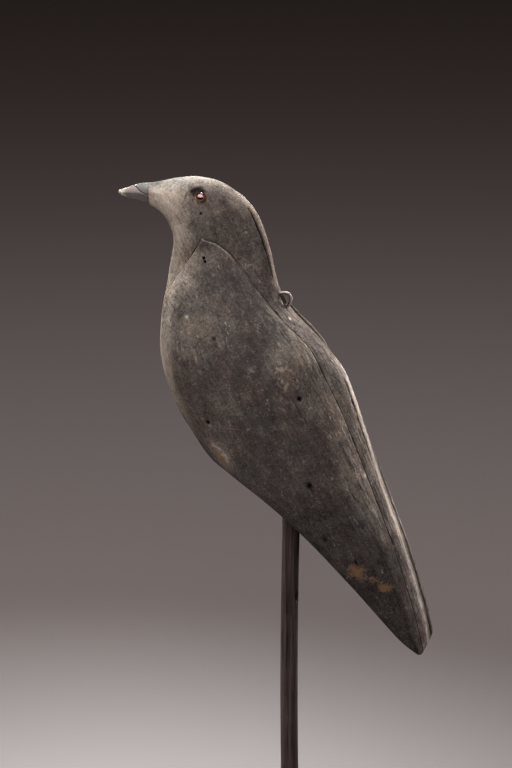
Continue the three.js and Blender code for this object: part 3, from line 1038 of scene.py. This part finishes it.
def painted_wood():
    """Old grey-black paint, dusty and scuffed, worn to brown wood in places, with black cracks and pits; its
    marks also lay in painted shade and painted highlights.
    """
    made, tree = blank_material("worn_crow_paint")
    broad, middle, fine = cloud(tree, 30, 3), cloud(tree, 8, 6, 0.65), cloud(tree, 1.7, 3, 0.6)
    dots, streak = cloud(tree, 0.9, 2, 0.5), cloud(tree, 2.2, 5, 0.65, grained(tree, 6))
    weather = mark(tree, "weather")
    tone = paint_tone(tree, weather, streak, (broad, 0.5), (middle, 0.5), (fine, 0.5), (dots, 0.42))
    colour = ramp(tree, tone, PAINT_TONES)
    plain = node(tree, "RGBToBW", {0: colour})
    colour = mixed(tree, times(tree, mark(tree, "grey"), 0.7), colour, plain)
    bare = plus(tree, mark(tree, "ochre"), swing(tree, middle, 1.3), swing(tree, fine, 1.2))
    colour = mixed(tree, ranged(tree, bare, 0.5, 1.15, 0, 0.9), colour, BARE_WOOD)
    tint = mixed(tree, ranged(tree, cloud(tree, 22, 2), 0.35, 0.65), WARM_TINT, COOL_TINT)
    colour = mixed(tree, 1, colour, tint, "MULTIPLY")
    specks = ranged(tree, cloud(tree, 2, 8, 0.8), 0.6, 0.68)
    specks = times(tree, specks, ranged(tree, weather, 0, 1, 0.25, 0.6))
    pits = times(tree, ranged(tree, streak, 0.4, 0.3), ranged(tree, weather, 0, 1, 0.25, 0.9))
    # The dark mark lays the cracks, seams and holes, and the painted shade by the arch and round the bill's
    # root.
    colour = layered(tree, colour, (specks, PALE_SPECK), (pits, PIT_BLACK), (mark(tree, "dark"), CRACK_AND_SHADE_BLACK))
    relief = plus(tree, times(tree, streak, 0.6), times(tree, fine, 0.5), times(tree, dots, 0.25))
    normal = bump(tree, relief, 0.7, 0.6)
    return dressed(made, Base_Color=colour, Roughness=0.8, Specular_IOR_Level=0, Normal=normal)


def painted_bill():
    """Worn blue-grey paint, paler ahead of the split and chipped at the tip, with painted shade on its lower
    part and at its root.
    """
    made, tree = blank_material("worn_bill_paint")
    middle, fine = cloud(tree, 5, 6, 0.7), cloud(tree, 1.2, 4, 0.6)
    colour = mixed(tree, ranged(tree, middle, 0.3, 0.7), BILL_DARK, BILL_PALE)
    front = mixed(tree, ranged(tree, fine, 0.35, 0.65), FRONT_DARK, FRONT_PALE)
    tip = mixed(tree, ranged(tree, fine, 0.4, 0.6), TIP_DARK, TIP_PALE)
    under = times(tree, mark(tree, "low"), 0.7)
    colour = layered(tree, colour, (mark(tree, "front"), front), (under, BILL_UNDER_SHADE))
    colour = layered(tree, colour, (mark(tree, "tip"), tip), (mark(tree, "dark"), SPLIT_AND_SHADE_BLACK))
    rough = ranged(tree, middle, 0.2, 0.8, 0.4, 0.7)
    return dressed(made, Base_Color=colour, Roughness=rough, Normal=bump(tree, fine, 0.25, 0.5))


def eye_glass():
    """Polished glass: a black pupil, a mottled red-brown iris and a dark rim."""
    made, tree = blank_material("eye_glass")
    ring = mark(tree, "from_pupil")
    iris = mixed(tree, cloud(tree, 0.8, 3), IRIS_DARK, IRIS_RED)
    colour = mixed(tree, ranged(tree, ring, 0.52, 0.6), PUPIL, iris)
    colour = mixed(tree, ranged(tree, ring, 0.9, 0.98), colour, EYE_RIM)
    return dressed(made, Base_Color=colour, Roughness=0.12, Coat_Weight=1, Coat_IOR=2.2, Coat_Roughness=0.06)


def iron_wire():
    """Dull iron with rust, and darker on the loop's inner side."""
    made, tree = blank_material("rusty_wire")
    fine = cloud(tree, 1.5, 5, 0.7)
    colour = mixed(tree, ranged(tree, fine, 0.4, 0.7), IRON, RUST)
    colour = mixed(tree, mark(tree, "inner"), colour, WIRE_INNER_DARK)
    rough, metal = ranged(tree, fine, 0.3, 0.7, 0.4, 0.8), ranged(tree, fine, 0.4, 0.6, 0.4, 0.05)
    normal = bump(tree, fine, 0.1, 0.5)
    return dressed(made, Base_Color=colour, Roughness=rough, Metallic=metal, Normal=normal)


def stained_rod():
    """Dark stained wood with streaks along the rod, worn paler on one side."""
    made, tree = blank_material("dark_stained_rod")
    fibre = squeezed(tree, coordinates(tree), 30)
    streak, fine = cloud(tree, 2.6, 5, 0.65, fibre), cloud(tree, 0.9, 4, 0.6, fibre)
    colour = mixed(tree, ranged(tree, streak, 0.3, 0.7), ROD_DARK, ROD_PALE)
    faded = ranged(tree, cloud(tree, 30), 0.4, 0.75, 0, 0.5)
    worn = times(tree, mark(tree, "worn"), ranged(tree, fine, 0.35, 0.6, 0.3, 1))
    # The dark mark darkens the grooves and the chip, and lays the painted shade under the belly.
    colour = layered(tree, colour, (faded, ROD_FADED), (worn, ROD_WORN), (mark(tree, "dark"), ROD_DARK_AND_SHADE))
    rough = ranged(tree, streak, 0.3, 0.7, 0.75, 0.5)
    normal = bump(tree, plus(tree, streak, times(tree, fine, 0.5)), 0.5, 0.6)
    return dressed(made, Base_Color=colour, Roughness=rough, Specular_IOR_Level=0.05, Normal=normal)


def foot_paint():
    """Plain dark satin paint, rubbed brown in places round the rim."""
    made, tree = blank_material("plain_foot_paint")
    middle, fine = cloud(tree, 14, 6, 0.65), cloud(tree, 1.5, 4, 0.6)
    colour = mixed(tree, ranged(tree, middle, 0.3, 0.7), FOOT_DARK, FOOT_PALE)
    worn = times(tree, mark(tree, "rim"), ranged(tree, middle, 0.45, 0.65))
    colour = mixed(tree, worn, colour, FOOT_WORN)
    rough = ranged(tree, middle, 0.3, 0.7, 0.35, 0.55)
    return dressed(made, Base_Color=colour, Roughness=rough, Normal=bump(tree, fine, 0.15, 0.35))


def pale_paper():
    """The floor's paper, a little browner further from the foot."""
    made, tree = blank_material("pale_paper")
    radius = node(tree, "VectorMath", {0: coordinates(tree)}, "Value", operation="LENGTH")
    colour = mixed(tree, ranged(tree, radius, 0.1, 0.7), FLOOR_NEAR, FLOOR_ROUND)
    colour = mixed(tree, ranged(tree, radius, 1.2, 3.8), colour, FLOOR_FAR)
    return dressed(made, Base_Color=colour, Roughness=0.9, Specular_IOR_Level=0.1)


# Stage, lights and camera

CAMERA_AZIMUTH, CAMERA_ELEVATION, CAMERA_DISTANCE, CAMERA_FIELD = 11.5, 13.5, 2.63, 12
TARGET = Vector((-0.0259, 0, 0.3547))
FLOOR_FLAT, FLOOR_BEND, FLOOR_WALL = 6, 2, 3
WARM, NEUTRAL, DIM = (1, 0.87, 0.83), (1, 0.99, 0.96), rgb(0.016, 0.014, 0.013)


def direction(azimuth, elevation):
    """The way to a viewer, with the azimuth counted in degrees from the bird's left side to its tail."""
    a, e = math.radians(azimuth), math.radians(elevation)
    return Vector((math.sin(a) * math.cos(e), -math.cos(a) * math.cos(e), math.sin(e)))


def build_camera():
    """The camera at the photograph's place, with a long lens."""
    data = bpy.data.cameras.new("camera")
    data.lens = data.sensor_width / 2 / math.tan(math.radians(CAMERA_FIELD / 2))
    data.clip_end = 60
    camera = bpy.data.objects.new("camera", data)
    way = direction(CAMERA_AZIMUTH, CAMERA_ELEVATION)
    camera.location = TARGET + way * CAMERA_DISTANCE
    camera.rotation_euler = (-way).to_track_quat("-Z", "Y").to_euler()
    bpy.context.scene.collection.objects.link(camera)
    bpy.context.scene.camera = camera


def build_floor():
    """A round pale floor that curves up into a backdrop on all sides."""
    profile = [(r, 0) for r in (0.01, 0.5, 1, 2, 3, 4, 5, FLOOR_FLAT)]
    for a in np.linspace(0.1, math.pi / 2, 16):
        profile.append((FLOOR_FLAT + FLOOR_BEND * math.sin(a), FLOOR_BEND - FLOOR_BEND * math.cos(a)))
    profile.append((FLOOR_FLAT + FLOOR_BEND, FLOOR_BEND + FLOOR_WALL))
    floor = mesh_from_grid("floor", turned(profile, 128) / MM - (0, 0, PERCH), {}, caps=False)
    floor.data.materials.append(pale_paper())


def build_light(name, spot, aim, size, power, colour, spread=180):
    """A soft rectangular light that the camera doesn't see."""
    data = bpy.data.lights.new(name, "AREA")
    data.shape = "RECTANGLE"
    data.size, data.size_y = size
    data.energy = power
    data.color = colour
    data.spread = math.radians(spread)
    light = bpy.data.objects.new(name, data)
    light.location = spot
    light.rotation_euler = (Vector(aim) - Vector(spot)).to_track_quat("-Z", "Y").to_euler()
    light.visible_camera = False
    bpy.context.scene.collection.objects.link(light)


def build_lights():
    """A broad box overhead, a narrow one for the pale pool, two rim lights behind, a front and a fill."""
    bird = (0, 0, 0.38)
    build_light("ceiling_light", (0, 0.2, 2.4), (0, 0.2, 0), (1.4, 1.4), 16.2, WARM)
    build_light("top_light", (-0.2, 0.05, 1.5), (-0.2, 0.05, 0), (0.1, 0.1), 0.68, NEUTRAL, 40)
    build_light("left_light", (-0.9, 1.25, 0.8), (0, 0, 0.44), (0.3, 0.6), 1.8, WARM, 30)
    build_light("right_light", (0.85, 1.35, 0.9), (0, 0, 0.45), (0.3, 0.6), 2.3, WARM, 28)
    build_light("front_light", (-0.6, -1.7, 1.8), bird, (2.4, 0.9), 24, WARM)
    build_light("fill_light", (1.7, -1.5, 1), bird, (1, 1), 3.8, WARM)
    world = bpy.data.worlds.new("world")
    bpy.context.scene.world = world
    world.use_nodes = True
    world.node_tree.nodes["Background"].inputs["Color"].default_value = DIM
    bpy.context.scene.view_settings.view_transform = "Standard"


paint = painted_wood()
glass = eye_glass()
build_board(paint)
build_cheek(LEFT, paint)
build_cheek(RIGHT, paint)
build_bill(painted_bill())
build_eye(LEFT, glass)
build_eye(RIGHT, glass)
build_loop(iron_wire())
build_rod(stained_rod())
build_foot(foot_paint())
build_camera()
build_floor()
build_lights()
